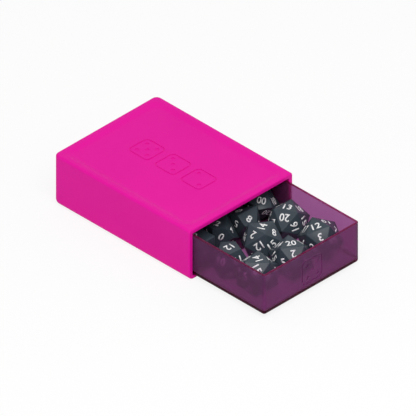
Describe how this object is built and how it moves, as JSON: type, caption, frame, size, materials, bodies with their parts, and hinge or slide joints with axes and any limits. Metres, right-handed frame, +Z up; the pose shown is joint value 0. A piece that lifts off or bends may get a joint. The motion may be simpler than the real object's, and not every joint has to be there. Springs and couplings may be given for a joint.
{
  "type": "dice box",
  "caption": "Moulded plastic sleeve with a shallow dished top and a tinted see-through drawer that slides out of its open end, holding loose polyhedral dice.",
  "frame": {"origin": "Middle of the sleeve's underside, on the surface that the box rests on.", "axes": "+Z is up. The drawer opens towards -Y and the sleeve's closed back faces +Y. +X is to the right for someone who looks along +Y at the drawer's front."},
  "size_m": [0.0762, 0.152, 0.0314],
  "materials": {
    "sleeve_plastic": "satin",
    "drawer_plastic": "translucent",
    "dice_resin": "polished",
    "numeral_paint": "painted"
  },
  "bodies": {
    "sleeve": {"sleeve": "sleeve_plastic"},
    "drawer": {"drawer": "drawer_plastic", "d20_front_left": "dice_resin", "d20_front_middle": "dice_resin", "d20_front_right": "dice_resin", "d12_left": "dice_resin", "d20_middle": "dice_resin", "d20_right": "dice_resin", "d10_left": "dice_resin", "d10_middle": "dice_resin", "d10_tens": "dice_resin", "d6_left": "dice_resin"}
  },
  "joints": [
    {"name": "drawer_slide", "type": "slide", "parent": "sleeve", "child": "drawer", "axis": [0, -1, 0], "range_m": [-0.052, 0.028]}
  ]
}
